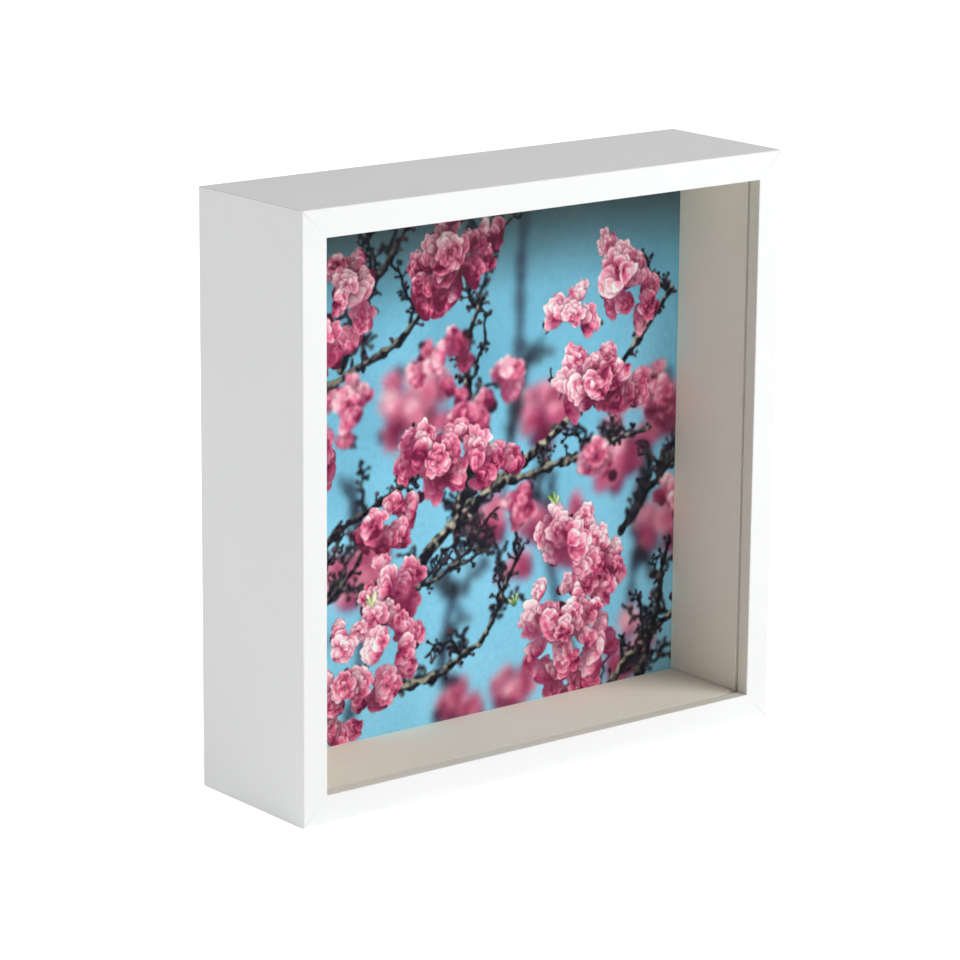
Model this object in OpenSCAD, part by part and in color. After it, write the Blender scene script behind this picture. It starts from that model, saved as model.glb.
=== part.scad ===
// Square shadow box: a deep white box frame that shows a flat picture about
// 43 mm behind its glass. The front faces -Y, +X is to the right and +Z is up.
// The origin is under the middle of the bottom face.
// It is drawn ready to open: its retaining tabs stand up, clear of the back.

/* [Frame] */
// Outside width
frame_w = 250; // [200:1:400]
// Outside height
frame_h = 250; // [200:1:400]
// Depth from the front face to the back rim
frame_d = 70; // [55:0.5:110]
// Thickness of the frame walls
wall_t = 9; // [8:0.1:12]
// Width of the front lip beyond the wall, over the glass
lip_w = 2.8; // [2:0.1:6]
// Thickness of the front lip
lip_t = 6; // [3:0.1:9]
// Rounding of the long outside edges
edge_r = 0.6; // [0.3:0.1:1.5]

/* [Glass] */
// Thickness of the glass
glass_t = 2; // [1.5:0.1:3]
// Play between the glass and the walls, all round
glass_play = 0.5; // [0.2:0.1:0.8]

/* [Spacers] */
// Play between a spacer strip and the wall behind it
spacer_play = 0.2; // [0.1:0.1:0.5]
// Gap where a side strip butts against the top or bottom strip
spacer_butt = 0.25; // [0.1:0.05:0.5]

/* [Back] */
// Thickness of the picture sheet
print_t = 0.4; // [0.3:0.1:1]
// Thickness of the backboard
board_t = 3; // [2:0.1:4]
// Gap between the picture and the ends of the spacers
seat_gap = 0.2; // [0.1:0.1:0.5]
// Depth of the recess behind the backboard
recess_d = 15.8; // [15:0.1:22]

/* [Retaining tabs] */
// Width of a tab
tab_w = 12; // [8:0.5:16]
// Length of a tab from its bend
tab_l = 13; // [8:0.5:13]
// Thickness of the tab steel
tab_t = 0.5; // [0.4:0.05:0.8]
// Distance from the middle of a tab to the inside corner of the frame
tab_in = 46; // [30:1:48]
// How far the root of a tab is driven into the wall
root_in = 5.5; // [4:0.1:6.5]
// Gap between the bend of a tab and the backboard
tab_gap = 0.3; // [0.2:0.1:0.5]
// Gap between the bend of a tab and the wall
bend_gap = 0.3; // [0.2:0.1:0.6]
// Gap between a tab that stands open and the edge of the backboard
pass_gap = 0.3; // [0.2:0.1:0.6]
// Running clearance between the bend and the root
bend_play = 0.05; // [0.03:0.01:0.1]

/* [Hangers] */
// Length of a hanger plate
hanger_l = 48; // [44:1:60]
// Height of a hanger plate
hanger_h = 20; // [18:1:26]
// Thickness of the hanger steel
hanger_t = 1; // [0.8:0.1:1.5]
// Space behind the raised middle of a hanger, for the head of a nail
hanger_rise = 2.6; // [2:0.1:3.5]
// Radius of the keyhole's round entry
keyhole_r = 4.2; // [3.6:0.1:4.6]
// Width of the keyhole's slot
keyhole_slot = 3.6; // [3:0.1:4]
// Distance from the middle of a hanger to the edge of the backboard
hanger_in = 24; // [18:1:40]
// Radius of a rivet's shank
rivet_r = 1.5; // [1.2:0.1:2]
// Radius of a rivet's heads
rivet_head_r = 3; // [2.6:0.1:3.5]

/* [Corner nails] */
// Length of each leg of a corner nail, seen from the back
nail_leg = 4.4; // [3:0.1:5]
// Thickness of the nail steel
nail_t = 0.5; // [0.4:0.1:0.8]
// Length of a nail along the depth of the frame
nail_l = 10; // [7:0.5:12]
// How far the outer nail sits below the back rim
nail_sink = 0.6; // [0.3:0.1:1]

/* [Hidden] */
$fn = 48;

// Places along the depth, from the front face to the back rim
front_y = -frame_d / 2;
glass_y = front_y + lip_t;
spacer_y = glass_y + glass_t;
back_y = frame_d / 2;
board_back_y = back_y - recess_d;
board_y = board_back_y - board_t;
print_y = board_y - print_t;
spacer_d = print_y - seat_gap - spacer_y;

// Sizes across the front
face_w = wall_t + lip_w;
rebate_w = frame_w - 2 * wall_t;
rebate_h = frame_h - 2 * wall_t;
opening_h = frame_h - 2 * face_w;
spacer_t = lip_w - spacer_play;

// Retaining tabs: the bend is a round bead on the hinge line, proud of the tab
bead_proud = 0.05;
bend_r = tab_t / 2 + bead_proud;
bend_y = board_back_y + tab_gap + bend_r;
bend_z = wall_t + bend_gap + bend_r;
tip_r = 2.5;

// The backboard passes between the open tabs
board_w = rebate_w - 2 * (bend_gap + 2 * bend_r + pass_gap);
board_h = rebate_h - 2 * (bend_gap + 2 * bend_r + pass_gap);

// Hangers: feet on the board at both ends, a raised middle between them
foot_l = 10;
plate_r = 3;
keyhole_drop = 3;
keyhole_rise = 5;
rivet_head_t = 0.9;
rivet_flange_t = 0.5;

// Corner nails
nail_in = 2.3;
nail_count = 2;
nail_space = 0.5;

// How far a cut runs on past what it cuts
cut_over = 1;

// Colours
white = [0.96, 0.96, 0.95];
liner = [0.80, 0.78, 0.73];
fibre = [0.66, 0.52, 0.38];
steel = [0.72, 0.73, 0.75];
zinc = [0.82, 0.80, 0.74];
alloy = [0.85, 0.86, 0.87];

// Puts what is drawn for the bottom wall onto any wall. There, X runs along
// the wall, z = 0 is its outside face and +Z points into the frame.
module on_wall(side) {
    turn = side == "bottom" ? 0 : side == "top" ? 180 : side == "left" ? 90 : -90;
    reach = (is_level(side) ? frame_h : frame_w) / 2;
    translate([0, 0, frame_h / 2]) rotate([0, turn, 0]) translate([0, 0, -reach]) children();
}

function is_level(side) = side == "top" || side == "bottom";

// Distance from the middle of a wall to each of its tabs
function tab_off(side) = (is_level(side) ? rebate_w : rebate_h) / 2 - tab_in;

// A rectangle with its lower corner at the origin and four round corners
module round_rect(w, h, r) {
    translate([r, 0]) square([w - 2 * r, h]);
    translate([0, r]) square([w, h - 2 * r]);
    for (x = [r, w - r], y = [r, h - r]) translate([x, y]) circle(r);
}

// Section of the moulding, as [depth, height above the outside face]
function arc(y, z, r, from, to) =
    [for (i = [0:4]) let (a = from + (to - from) * i / 4) [y + r * cos(a), z + r * sin(a)]];

module moulding_section() {
    lip_r = edge_r / 2;
    polygon(concat(
        arc(front_y + edge_r, edge_r, edge_r, 180, 270),
        arc(back_y - edge_r, edge_r, edge_r, 270, 360),
        [[back_y, wall_t], [glass_y, wall_t], [glass_y, face_w]],
        arc(front_y + lip_r, face_w - lip_r, lip_r, 90, 180)));
}

// The L-shaped cut of a corner nail, with its apex on the mitre
module nail_section(length) {
    rotate([-90, 0, 0]) mirror([0, 1, 0]) linear_extrude(length) {
        square([nail_leg, nail_t]);
        square([nail_t, nail_leg]);
    }
}

// Corner nails, or the slots that they are driven down
module nails(slots) {
    step = nail_l + nail_space;
    stack_l = nail_count * step - nail_space + nail_sink;
    for (sx = [0, 1], sz = [0, 1])
        translate([0, 0, frame_h / 2]) mirror([sx, 0, 0]) mirror([0, 0, sz])
            translate([nail_in - frame_w / 2, 0, nail_in - frame_h / 2])
                if (slots) translate([0, back_y - stack_l, 0]) nail_section(stack_l + cut_over);
                else for (i = [1:nail_count])
                    translate([0, back_y - nail_sink - i * step + nail_space, 0])
                        nail_section(nail_l);
}

module root_strip() {
    translate([-tab_w / 2, bend_y - tab_t / 2, wall_t - root_in])
        cube([tab_w, tab_t, root_in + bend_gap - bend_play]);
}

module moulding(side) {
    length = is_level(side) ? frame_w : frame_h;
    color(white) difference() {
        on_wall(side) difference() {
            intersection() {
                translate([-length / 2, 0, 0]) rotate([90, 0, 90])
                    linear_extrude(length) moulding_section();
                rotate([90, 0, 0]) linear_extrude(frame_d + 2 * cut_over, center = true)
                    polygon([[-length / 2, 0], [length / 2, 0],
                             [length / 2 - face_w, face_w], [face_w - length / 2, face_w]]);
            }
            for (s = [-1, 1]) translate([s * tab_off(side), 0, 0]) root_strip();
        }
        nails(slots = true);
    }
}

module moulding_top() moulding("top");
module moulding_bottom() moulding("bottom");
module moulding_left() moulding("left");
module moulding_right() moulding("right");

module corner_nails() color(steel) nails(slots = false);

module glass_pane() {
    w = rebate_w - 2 * glass_play;
    h = rebate_h - 2 * glass_play;
    color([0.85, 0.93, 0.90, 0.3])
        translate([-w / 2, glass_y, frame_h / 2 - h / 2]) cube([w, glass_t, h]);
}

// The top and bottom strips run the full width, and the side strips fit between
module spacer(side) {
    length = is_level(side) ? rebate_w - 2 * spacer_play : opening_h - 2 * spacer_butt;
    color(liner) on_wall(side)
        translate([-length / 2, spacer_y, wall_t + spacer_play])
            cube([length, spacer_d, spacer_t]);
}

module spacer_top() spacer("top");
module spacer_bottom() spacer("bottom");
module spacer_left() spacer("left");
module spacer_right() spacer("right");

module print() {
    color([0.45, 0.70, 0.80])
        translate([-board_w / 2, print_y, frame_h / 2 - board_h / 2])
            cube([board_w, print_t, board_h]);
}

module backboard() {
    color(fibre) difference() {
        translate([-board_w / 2, board_y, frame_h / 2 - board_h / 2])
            cube([board_w, board_t, board_h]);
        at_hangers() rivet_places() rivet_cut();
    }
}

module tab_roots() {
    color(steel) for (side = ["top", "bottom", "left", "right"], s = [-1, 1])
        on_wall(side) translate([s * tab_off(side), 0, 0]) root_strip();
}

// One tab, standing straight up from its bend
module tab(side, s) {
    color(steel) on_wall(side) translate([s * tab_off(side), bend_y, bend_z]) {
        translate([-tab_w / 2, 0, 0]) rotate([0, 90, 0]) cylinder(r = bend_r, h = tab_w);
        translate([-tab_w / 2, 0, -tab_t / 2]) linear_extrude(tab_t) {
            square([tab_w, tab_l - tip_r]);
            round_rect(tab_w, tab_l, tip_r);
        }
    }
}

module tab_top_left() tab("top", 1);
module tab_top_right() tab("top", -1);
module tab_bottom_left() tab("bottom", -1);
module tab_bottom_right() tab("bottom", 1);
module tab_left_upper() tab("left", -1);
module tab_left_lower() tab("left", 1);
module tab_right_upper() tab("right", 1);
module tab_right_lower() tab("right", -1);

// Hangers are drawn upright about their middle, with the board's back at y = 0
module at_top_hanger() {
    translate([0, board_back_y, frame_h / 2 + board_h / 2 - hanger_in]) children();
}

module at_side_hanger() {
    translate([board_w / 2 - hanger_in, board_back_y, frame_h / 2])
        rotate([0, 90, 0]) children();
}

module at_hangers() {
    at_top_hanger() children();
    at_side_hanger() children();
}

module rivet_places() {
    for (s = [-1, 1]) translate([s * (hanger_l - foot_l) / 2, 0, 0]) children();
}

module rivet_cut() {
    rotate([90, 0, 0]) cylinder(r = rivet_r, h = board_t);
    translate([0, rivet_flange_t - board_t, 0]) rotate([90, 0, 0])
        cylinder(r = rivet_head_r, h = rivet_flange_t);
}

// Lays a plate drawn in X and Z flat, from y to y + hanger_t
module plate(y) {
    translate([0, y + hanger_t, 0]) rotate([90, 0, 0]) linear_extrude(hanger_t) children();
}

module hanger() {
    middle_l = hanger_l - 2 * foot_l;
    difference() {
        union() {
            for (s = [-1, 1]) plate(0)
                translate([s * (hanger_l - foot_l) / 2 - foot_l / 2, -hanger_h / 2])
                    round_rect(foot_l, hanger_h, plate_r);
            plate(hanger_rise) translate([-middle_l / 2, -hanger_h / 2])
                square([middle_l, hanger_h]);
            for (s = [-1, 1]) translate([s * (middle_l - hanger_t) / 2, 0, 0])
                translate([-hanger_t / 2, 0, -hanger_h / 2])
                    cube([hanger_t, hanger_rise + hanger_t, hanger_h]);
            for (s = [-1, 1]) translate([s * middle_l / 2 - (s < 0 ? hanger_t : 0), 0,
                                         plate_r - hanger_h / 2])
                cube([hanger_t, hanger_t, hanger_h - 2 * plate_r]);
        }
        plate(hanger_rise) {
            translate([0, -keyhole_drop]) circle(keyhole_r);
            translate([-keyhole_slot / 2, -keyhole_drop])
                square([keyhole_slot, keyhole_drop + keyhole_rise]);
            translate([0, keyhole_rise]) circle(keyhole_slot / 2);
        }
        rivet_places() plate(0) circle(rivet_r);
    }
}

module hanger_top() color(zinc) at_top_hanger() hanger();
module hanger_side() color(zinc) at_side_hanger() hanger();

// Each rivet has a head on the plate and a flange let into the board's front
module rivet() {
    translate([0, hanger_t, 0]) rotate([90, 0, 0])
        cylinder(r = rivet_r, h = hanger_t + board_t);
    translate([0, hanger_t, 0]) rotate([-90, 0, 0])
        cylinder(r1 = rivet_head_r, r2 = rivet_head_r - rivet_head_t / 2, h = rivet_head_t);
    translate([0, rivet_flange_t - board_t, 0]) rotate([90, 0, 0])
        cylinder(r = rivet_head_r, h = rivet_flange_t);
}

module hanger_rivets() color(alloy) at_hangers() rivet_places() rivet();

moulding_top();
moulding_bottom();
moulding_left();
moulding_right();
corner_nails();
glass_pane();
spacer_top();
spacer_bottom();
spacer_left();
spacer_right();
print();
backboard();
tab_roots();
tab_top_left();
tab_top_right();
tab_bottom_left();
tab_bottom_right();
tab_left_upper();
tab_left_lower();
tab_right_upper();
tab_right_lower();
hanger_top();
hanger_side();
hanger_rivets();
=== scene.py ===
# %% [markdown]
# # A deep box frame with a blossom print
#
# The object is a square shadow box: four white mitred mouldings, a pane of glass
# behind a front lip, grey-beige spacer strips that hold a printed picture well
# back from the glass, and a brown fibreboard back kept in by bending steel tabs.
#
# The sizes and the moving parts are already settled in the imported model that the
# first cell loads. This lesson gives every piece its finish, paints the picture,
# and sets up the studio. Lengths are in metres, +Z is up and the front faces -Y.

# %% Load the frame
from math import cos, hypot, pi, radians, sin

import bpy
import numpy as np
from mathutils import Euler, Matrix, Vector


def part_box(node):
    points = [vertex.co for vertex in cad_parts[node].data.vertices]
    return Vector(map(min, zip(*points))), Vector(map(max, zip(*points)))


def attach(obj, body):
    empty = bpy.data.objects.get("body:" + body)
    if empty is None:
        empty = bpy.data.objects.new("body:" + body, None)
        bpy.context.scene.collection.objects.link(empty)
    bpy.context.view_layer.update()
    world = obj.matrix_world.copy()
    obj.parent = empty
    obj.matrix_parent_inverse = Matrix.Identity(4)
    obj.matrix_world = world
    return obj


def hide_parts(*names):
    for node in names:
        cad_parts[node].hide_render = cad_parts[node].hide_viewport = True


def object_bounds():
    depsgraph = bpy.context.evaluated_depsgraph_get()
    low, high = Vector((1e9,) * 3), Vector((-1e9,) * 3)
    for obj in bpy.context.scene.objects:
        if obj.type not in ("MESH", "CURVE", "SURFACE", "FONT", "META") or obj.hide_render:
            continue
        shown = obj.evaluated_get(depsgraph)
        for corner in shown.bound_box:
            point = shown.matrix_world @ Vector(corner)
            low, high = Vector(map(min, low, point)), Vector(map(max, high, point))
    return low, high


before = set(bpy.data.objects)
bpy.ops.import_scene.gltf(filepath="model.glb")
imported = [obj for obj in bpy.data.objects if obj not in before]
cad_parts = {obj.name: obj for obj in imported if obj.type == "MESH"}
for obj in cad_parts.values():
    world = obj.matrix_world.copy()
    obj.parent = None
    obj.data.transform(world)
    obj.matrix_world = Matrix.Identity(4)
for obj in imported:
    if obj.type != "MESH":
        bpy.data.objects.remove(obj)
cad_box = [list(corner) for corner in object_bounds()]
print("nodes:", len(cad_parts))

# %% [markdown]
# ## Sizes
#
# Everything below is placed from the model's own boxes, so nothing is typed twice.
# The one value worked out here is the distance from the middle of the frame to
# the inside of its walls: the spacer strips stand 0.2 mm off them.

# %% Sizes from the frame
MM = 0.001

low, high = Vector(cad_box[0]), Vector(cad_box[1])
size = high - low
middle = (low + high) / 2
front_y, back_y = low.y, high.y

glass_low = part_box("glass_pane")[0]
spacer_low, spacer_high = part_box("spacer_left")
print_low, print_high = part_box("print")
board_low, board_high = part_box("backboard")

SPACER_PLAY = 0.2 * MM
half_inside = -spacer_low[0] + SPACER_PLAY
half_opening = -spacer_high[0]
front_centre = Vector((middle.x, front_y, middle.z))
print("box:", [round(v / MM, 1) for v in size], "mm, half inside:", round(half_inside / MM, 2))

# %% [markdown]
# ## Camera
#
# The box is seen from the front left and a little above, through a long lens from
# about six and a half widths away, so its edges run nearly parallel. The camera
# aims a little to the left of the middle of the front face, because the deep left
# side takes up the rest of the view.

# %% Camera
VIEW_TURN = radians(-38.7)
VIEW_RISE = radians(14.05)
VIEW_ROLL = radians(0.5)
VIEW_DISTANCE = 6.5 * size.x
AIM_LEFT = 0.1137 * size.x
LENS = 148.5
SENSOR = 36


def direction(turn, rise):
    """The way from the object towards someone standing at this turn and rise"""
    return Vector((sin(turn) * cos(rise), -cos(turn) * cos(rise), sin(rise)))


def facing(towards):
    """The turn of a lamp or camera that looks the opposite way to `towards`"""
    return towards.to_track_quat("Z", "Y")


towards_camera = direction(VIEW_TURN, VIEW_RISE)
camera_turn = facing(towards_camera) @ Euler((0, 0, VIEW_ROLL)).to_quaternion()
camera_right = camera_turn @ Vector((1, 0, 0))

camera = bpy.data.objects.new("camera", bpy.data.cameras.new("camera"))
camera.data.lens = LENS
camera.data.sensor_width = SENSOR
camera.data.clip_end = 60
camera.rotation_mode = "QUATERNION"
camera.rotation_quaternion = camera_turn
camera.location = front_centre + towards_camera * VIEW_DISTANCE - camera_right * AIM_LEFT
bpy.context.scene.collection.objects.link(camera)
bpy.context.scene.camera = camera
print("camera at", [round(v, 3) for v in camera.location])

# %% [markdown]
# ## Helpers for materials
#
# A material is a small graph. `add` makes one node, sets the sockets and options
# that it is given, and links any socket that is handed another node's output.

# %% Node helpers
def add(tree, kind, options=None, **sockets):
    """A node of this kind. Sockets are named with _ for a space, or i0, i1 by place"""
    made = tree.nodes.new("ShaderNode" + kind)
    for name, value in (options or {}).items():
        setattr(made, name, value)
    for name, value in sockets.items():
        by_place = name[0] == "i" and name[1:].isdigit()
        socket = made.inputs[int(name[1:]) if by_place else name.replace("_", " ")]
        if isinstance(value, bpy.types.NodeSocket):
            tree.links.new(value, socket)
        else:
            socket.default_value = value
    return made


def math(tree, what, *values, clamp=False):
    """The result of one math node"""
    numbered = {f"i{place}": value for place, value in enumerate(values)}
    return add(tree, "Math", {"operation": what, "use_clamp": clamp}, **numbered).outputs[0]


def spread(tree, value, low_in, high_in, low_out=0.0, high_out=1.0):
    """Maps a value from one range to another, and keeps it inside"""
    ranges = {"From_Min": low_in, "From_Max": high_in, "To_Min": low_out, "To_Max": high_out}
    return add(tree, "MapRange", Value=value, **ranges).outputs[0]


print("node helpers: add, math, spread")


# %% Colour helpers
def blend_colours(tree, mask, first, second, how="MIX"):
    """One colour over another, by a mask"""
    options = {"data_type": "RGBA", "blend_type": how}
    return add(tree, "Mix", options, i0=mask, i6=first, i7=second).outputs[2]


def linear(red, green, blue):
    """A colour as a paint chart gives it, 0 to 255, for a shader socket"""
    def one(value):
        value = value / 255
        return value / 12.92 if value <= 0.04045 else ((value + 0.055) / 1.055) ** 2.4

    return (one(red), one(green), one(blue), 1.0)


print("mid grey 128 is", round(linear(128, 128, 128)[0], 3), "in linear light")


# %% Group and material helpers
def new_group(name, inputs, outputs):
    """An empty node group with these sockets, and its input and output nodes"""
    group = bpy.data.node_groups.new(name, "ShaderNodeTree")
    kinds = {"value": "NodeSocketFloat", "colour": "NodeSocketColor", "vector": "NodeSocketVector"}
    for label, (kind, default) in inputs.items():
        socket = group.interface.new_socket(label, in_out="INPUT", socket_type=kinds[kind])
        socket.default_value = default
    for label, kind in outputs.items():
        group.interface.new_socket(label, in_out="OUTPUT", socket_type=kinds[kind])
    entry = group.nodes.new("NodeGroupInput")
    leave = group.nodes.new("NodeGroupOutput")
    return group, entry.outputs, leave.inputs


def use(tree, group, **values):
    """Places a node group in a material, with its own values"""
    made = tree.nodes.new("ShaderNodeGroup")
    made.node_tree = group
    for name, value in values.items():
        socket = made.inputs[name.replace("_", " ")]
        if isinstance(value, bpy.types.NodeSocket):
            tree.links.new(value, socket)
        else:
            socket.default_value = value
    return made.outputs


def new_material(name):
    """A material with only its Principled shader and output, and its node tree"""
    material = bpy.data.materials.new(name)
    material.use_nodes = True
    tree = material.node_tree
    return material, tree, tree.nodes["Principled BSDF"]


def link(tree, output, shader, socket):
    tree.links.new(output, shader.inputs[socket])


print("group and material helpers: new_group, use, new_material, link")

# %% [markdown]
# ## Node groups: the effects that several finishes share
#
# Paper, fibreboard and foil are all covered in small irregular marks. Each effect
# is built once here, puts out plain values, and is placed in the materials with
# its own numbers. All of them read the object's own coordinates, so a pattern
# stays on its piece when the piece moves.

# %% Group: speckle
def make_speckle():
    """Soft cloudy variation with fine specks over it"""
    group, given, out = new_group(
        "speckle",
        {"Cloud size": ("value", 0.03), "Speck size": ("value", 0.001), "Specks": ("value", 0.5)},
        {"Value": "value", "Height": "value"},
    )
    place = add(group, "TexCoord").outputs["Object"]
    cloud_scale = math(group, "DIVIDE", 1.0, given["Cloud size"])
    speck_scale = math(group, "DIVIDE", 1.0, given["Speck size"])
    cloud = add(group, "TexNoise", Vector=place, Scale=cloud_scale, Detail=5.0, Roughness=0.55)
    speck = add(group, "TexNoise", Vector=place, Scale=speck_scale, Detail=3.0, Roughness=0.7)
    clouds = spread(group, cloud.outputs[0], 0.3, 0.7)
    specks = spread(group, speck.outputs[0], 0.3, 0.7)
    mixed = add(group, "Mix", {"data_type": "FLOAT"}, i0=given["Specks"], i2=clouds, i3=specks)
    group.links.new(mixed.outputs[0], out["Value"])
    group.links.new(specks, out["Height"])
    return group


speckle = make_speckle()
print("group:", speckle.name)


# %% Group: fibres
def make_fibres():
    """Short fibres lying every way, as in paper and pressed board"""
    group, given, out = new_group(
        "fibres",
        {"Length": ("value", 0.004), "Thinness": ("value", 7.0)},
        {"Value": "value", "Height": "value"},
    )
    place = add(group, "TexCoord").outputs["Object"]
    scale = math(group, "DIVIDE", 1.0, given["Length"])
    layers = []
    for turn in (0.3, 1.35, 2.4):
        turned = add(group, "Mapping", Vector=place, Rotation=(turn, turn * 0.7, turn * 1.3))
        thin = add(group, "CombineXYZ", X=1.0, Y=given["Thinness"], Z=given["Thinness"])
        stretch = add(group, "VectorMath", {"operation": "MULTIPLY"}, i0=turned.outputs[0],
                      i1=thin.outputs[0])
        noise = add(group, "TexNoise", Vector=stretch.outputs[0], Scale=scale, Detail=2.0)
        layers.append(spread(group, noise.outputs[0], 0.52, 0.72))
    either = math(group, "MAXIMUM", math(group, "MAXIMUM", layers[0], layers[1]), layers[2])
    group.links.new(either, out["Value"])
    group.links.new(math(group, "MULTIPLY", either, 0.5), out["Height"])
    return group


fibres = make_fibres()
print("group:", fibres.name)


# %% Group: edge rub
def make_edge_rub():
    """How near a point is to an edge of a box, broken up as real wear is"""
    group, given, out = new_group(
        "edge_rub",
        {"Centre": ("vector", (0, 0, 0)), "Half size": ("vector", (0.1, 0.1, 0.1)),
         "Width": ("value", 0.001), "Ragged": ("value", 0.6)},
        {"Mask": "value"},
    )
    place = add(group, "TexCoord").outputs["Object"]
    away = add(group, "VectorMath", {"operation": "SUBTRACT"}, i0=place, i1=given["Centre"])
    away = add(group, "VectorMath", {"operation": "ABSOLUTE"}, i0=away.outputs[0])
    inside = add(group, "VectorMath", {"operation": "SUBTRACT"}, i0=given["Half size"],
                 i1=away.outputs[0])
    depth = add(group, "SeparateXYZ", Vector=inside.outputs[0]).outputs
    pairs = [math(group, "MAXIMUM", depth[a], depth[b]) for a, b in ((0, 1), (1, 2), (0, 2))]
    nearest = math(group, "MINIMUM", math(group, "MINIMUM", pairs[0], pairs[1]), pairs[2])
    noise = add(group, "TexNoise", Vector=place, Scale=260.0, Detail=4.0, Roughness=0.65)
    broken = math(group, "MULTIPLY", spread(group, noise.outputs[0], 0.35, 0.65), given["Ragged"])
    reach = math(group, "MULTIPLY", given["Width"], math(group, "SUBTRACT", 1.0, broken))
    share = math(group, "DIVIDE", nearest, math(group, "MAXIMUM", reach, 1e-6))
    group.links.new(spread(group, share, 0.2, 1.0, 1.0, 0.0), out["Mask"])
    return group


edge_rub = make_edge_rub()
print("group:", edge_rub.name)


# %% Group: rolling lines
def make_rolling_lines():
    """Fine parallel lines left on steel strip by the rolls, with dull smudges"""
    group, given, out = new_group(
        "rolling_lines",
        {"Stretch": ("vector", (1.0, 40.0, 40.0)), "Smudge size": ("value", 0.006)},
        {"Lines": "value", "Smudge": "value"},
    )
    place = add(group, "TexCoord").outputs["Object"]
    pulled = add(group, "VectorMath", {"operation": "MULTIPLY"}, i0=place, i1=given["Stretch"])
    lines = add(group, "TexNoise", Vector=pulled.outputs[0], Scale=120.0, Detail=3.0)
    smudge_scale = math(group, "DIVIDE", 1.0, given["Smudge size"])
    smudge = add(group, "TexNoise", Vector=place, Scale=smudge_scale, Detail=4.0)
    group.links.new(spread(group, lines.outputs[0], 0.3, 0.7), out["Lines"])
    group.links.new(spread(group, smudge.outputs[0], 0.35, 0.7), out["Smudge"])
    return group


rolling_lines = make_rolling_lines()
print("group:", rolling_lines.name)

# %% [markdown]
# ## White foil on fibreboard
#
# The moulding is fibreboard wrapped in a thin white foil with a very fine grain.
# The foil goes round the front, the outside and the back rim and is turned a few
# millimetres down the inside, where its cut edge shows against the raw board. At
# the corners the mitre seam gets a hair line of painted shade, darkest at the
# outside and fading out before the inner corner. The lip's inner edge is coloured
# a warm grey-beige, darker than the foil: painted shade where the lip turns into
# the box. One material does all of this by place.

# %% Foil and board colours
FOIL = linear(246, 248, 247)
FOIL_DULL = linear(239, 241, 239)
BOARD_LIGHT = linear(172, 138, 98)
BOARD_DARK = linear(116, 86, 56)
BOARD_HAIR = linear(205, 176, 136)
# Painted shade: the lip's inner edge is coloured warm grey-beige, darker than the foil.
LIP_SHADE = linear(228, 226, 210)
# Painted shade in the mitre seams.
MITRE_SHADE = linear(150, 148, 142)
WORN_FOIL = linear(226, 224, 218)
FOIL_TURNED_IN = 4.5 * MM


def board_look(tree):
    """Colour and height of raw pressed board"""
    fine = use(tree, speckle, Cloud_size=0.02, Speck_size=0.0006, Specks=0.7)
    hairs = use(tree, fibres, Length=0.0035, Thinness=6.0)
    colour = blend_colours(tree, fine["Value"], BOARD_DARK, BOARD_LIGHT)
    pale = blend_colours(tree, math(tree, "MULTIPLY", hairs["Value"], 0.45), colour, BOARD_HAIR)
    height = math(tree, "ADD", fine["Height"], hairs["Height"])
    return pale, height


print("foil turned in:", round(FOIL_TURNED_IN / MM, 1), "mm")


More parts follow.
